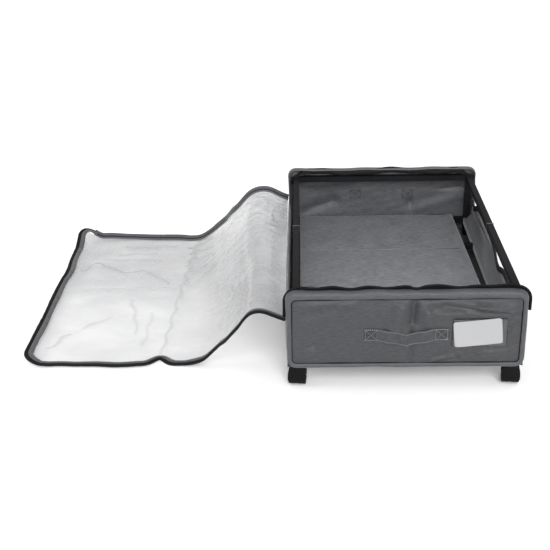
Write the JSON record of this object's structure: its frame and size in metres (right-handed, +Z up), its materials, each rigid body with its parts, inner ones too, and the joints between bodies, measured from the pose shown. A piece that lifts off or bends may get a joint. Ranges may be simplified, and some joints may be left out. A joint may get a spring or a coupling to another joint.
{
  "type": "rolling under-bed storage box",
  "caption": "Low fabric storage box on a tube frame with twin-wheel casters, a loose base board and a clear zip-on lid that lies open beside it.",
  "frame": {"origin": "on the floor, under the middle of the tub frame", "axes": "+Z up, +Y from the front panel with the label towards the back, +X away from the side the lid is hinged on"},
  "size_m": [0.9053, 0.7118, 0.21],
  "materials": {
    "frame_paint": "black powder coat, slight sheen",
    "black_plastic": "matt",
    "zinc": "zinc plated",
    "caster_plastic": "moulded, slight gloss",
    "grey_fabric": "woven oxford cloth",
    "zip_tape": "woven zipper tape",
    "webbing": "ribbed webbing",
    "card": "plain card",
    "board_cloth": "linen-look cloth wrapped over board",
    "clear_film": "clear flexible film, soft gloss",
    "slider_paint": "black"
  },
  "bodies": {
    "tub": {"top_rail_left_front": "frame_paint", "top_rail_left_back": "frame_paint", "top_rail_right_front": "frame_paint", "top_rail_right_back": "frame_paint", "top_rail_front": "frame_paint", "top_rail_back": "frame_paint", "lower_rail_left": "frame_paint", "lower_rail_right": "frame_paint", "lower_rail_front": "frame_paint", "lower_rail_back": "frame_paint", "cross_bars": "frame_paint", "post_front_left": "frame_paint", "post_front_right": "frame_paint", "post_back_left": "frame_paint", "post_back_right": "frame_paint", "rail_joiners": "zinc", "corner_connectors": "black_plastic", "post_tees": "black_plastic", "caster_sockets": "black_plastic", "front_panel": "grey_fabric", "back_panel": "grey_fabric", "left_side": "grey_fabric", "right_side": "grey_fabric", "bottom_panel": "grey_fabric", "front_piping": "grey_fabric", "back_piping": "grey_fabric", "rim_zip_tape": "zip_tape", "front_handle_ends": "webbing", "back_handle_ends": "webbing", "label_pocket": "zip_tape"},
    "caster_front_left": {"stem_front_left": "zinc", "hood_front_left": "caster_plastic", "axle_front_left": "zinc"},
    "wheel_pair_front_left": {"wheels_front_left": "caster_plastic"},
    "caster_front_right": {"stem_front_right": "zinc", "hood_front_right": "caster_plastic", "axle_front_right": "zinc"},
    "wheel_pair_front_right": {"wheels_front_right": "caster_plastic"},
    "caster_back_left": {"stem_back_left": "zinc", "hood_back_left": "caster_plastic", "axle_back_left": "zinc"},
    "wheel_pair_back_left": {"wheels_back_left": "caster_plastic"},
    "caster_back_right": {"stem_back_right": "zinc", "hood_back_right": "caster_plastic", "axle_back_right": "zinc"},
    "wheel_pair_back_right": {"wheels_back_right": "caster_plastic"},
    "card": {"label_card": "card"},
    "grip_front": {"front_handle": "webbing"},
    "grip_back": {"back_handle": "webbing"},
    "board_middle": {"base_board_middle": "board_cloth"},
    "board_front": {"base_board_front": "board_cloth"},
    "board_back": {"base_board_back": "board_cloth"},
    "slider_front": {"zip_slider_front": "slider_paint"},
    "slider_back": {"zip_slider_back": "slider_paint"},
    "cover_flap": {"lid_flap": "clear_film"},
    "cover_slope": {"lid_slope": "clear_film"},
    "cover_run": {"lid_run": "clear_film"},
    "cover_floor": {"lid_floor": "clear_film"},
    "cover_skirt": {"lid_skirt": "clear_film"}
  },
  "joints": [
    {"name": "lid_hinge", "type": "hinge", "parent": "tub", "child": "cover_flap", "pos_m": [-0.214, 0, 0.14], "axis": [0, 1, 0], "range_deg": [0, 70]},
    {"name": "lid_bend_top", "type": "hinge", "parent": "cover_flap", "child": "cover_slope", "pos_m": [-0.27602, 0, 0.16257], "axis": [0, 1, 0], "range_deg": [0, 159.14]},
    {"name": "lid_sway", "type": "slide", "parent": "cover_slope", "child": "cover_run", "axis": [0, 1, 0], "range_m": [-0.0951, 0]},
    {"name": "lid_bend_floor", "type": "hinge", "parent": "cover_run", "child": "cover_floor", "pos_m": [-0.41539, 0, 0.0015], "axis": [0, 1, 0], "range_deg": [-49.14, 0]},
    {"name": "lid_bend_skirt", "type": "hinge", "parent": "cover_floor", "child": "cover_skirt", "pos_m": [-0.63039, 0, 0.0015], "axis": [0, 1, 0], "range_deg": [0, 90.01]},
    {"name": "board_lift", "type": "slide", "parent": "tub", "child": "board_middle", "axis": [0, 0, 1], "range_m": [0, 0.08]},
    {"name": "board_fold_front", "type": "hinge", "parent": "board_middle", "child": "board_front", "pos_m": [0, -0.094, 0.0973], "axis": [1, 0, 0], "range_deg": [-90, 0]},
    {"name": "board_fold_back", "type": "hinge", "parent": "board_middle", "child": "board_back", "pos_m": [0, 0.102, 0.0973], "axis": [-1, 0, 0], "range_deg": [-90, 0]},
    {"name": "zip_front", "type": "slide", "parent": "tub", "child": "slider_front", "axis": [1, 0, 0], "range_m": [0, 0.35]},
    {"name": "zip_back", "type": "slide", "parent": "tub", "child": "slider_back", "axis": [1, 0, 0], "range_m": [0, 0.35]},
    {"name": "handle_front_pull", "type": "slide", "parent": "tub", "child": "grip_front", "axis": [0, -1, 0], "range_m": [0, 0.018]},
    {"name": "handle_back_pull", "type": "slide", "parent": "tub", "child": "grip_back", "axis": [0, 1, 0], "range_m": [0, 0.018]},
    {"name": "card_slide", "type": "slide", "parent": "tub", "child": "card", "axis": [1, 0, 0], "range_m": [0, 0.09]},
    {"name": "swivel_front_left", "type": "hinge", "parent": "tub", "child": "caster_front_left", "pos_m": [-0.194, -0.294, 0.05], "axis": [0, 0, 1], "continuous": true},
    {"name": "roll_front_left", "type": "hinge", "parent": "caster_front_left", "child": "wheel_pair_front_left", "pos_m": [-0.19275, -0.28207, 0.017], "axis": [0.9945, -0.1045, 0], "continuous": true},
    {"name": "swivel_front_right", "type": "hinge", "parent": "tub", "child": "caster_front_right", "pos_m": [0.194, -0.294, 0.05], "axis": [0, 0, 1], "continuous": true},
    {"name": "roll_front_right", "type": "hinge", "parent": "caster_front_right", "child": "wheel_pair_front_right", "pos_m": [0.19525, -0.28207, 0.017], "axis": [0.9945, -0.1045, 0], "continuous": true},
    {"name": "swivel_back_left", "type": "hinge", "parent": "tub", "child": "caster_back_left", "pos_m": [-0.194, 0.294, 0.05], "axis": [0, 0, 1], "continuous": true},
    {"name": "roll_back_left", "type": "hinge", "parent": "caster_back_left", "child": "wheel_pair_back_left", "pos_m": [-0.19275, 0.30593, 0.017], "axis": [0.9945, -0.1045, 0], "continuous": true},
    {"name": "swivel_back_right", "type": "hinge", "parent": "tub", "child": "caster_back_right", "pos_m": [0.194, 0.294, 0.05], "axis": [0, 0, 1], "continuous": true},
    {"name": "roll_back_right", "type": "hinge", "parent": "caster_back_right", "child": "wheel_pair_back_right", "pos_m": [0.19525, 0.30593, 0.017], "axis": [0.9945, -0.1045, 0], "continuous": true}
  ],
  "couplings": [
    {"joint": "lid_bend_top", "follows": "lid_hinge", "ratio": 2.2733},
    {"joint": "lid_sway", "follows": "lid_hinge", "m_per_rad": -0.077759},
    {"joint": "lid_bend_floor", "follows": "lid_hinge", "ratio": -0.70188},
    {"joint": "lid_bend_skirt", "follows": "lid_hinge", "ratio": 1.2857}
  ]
}
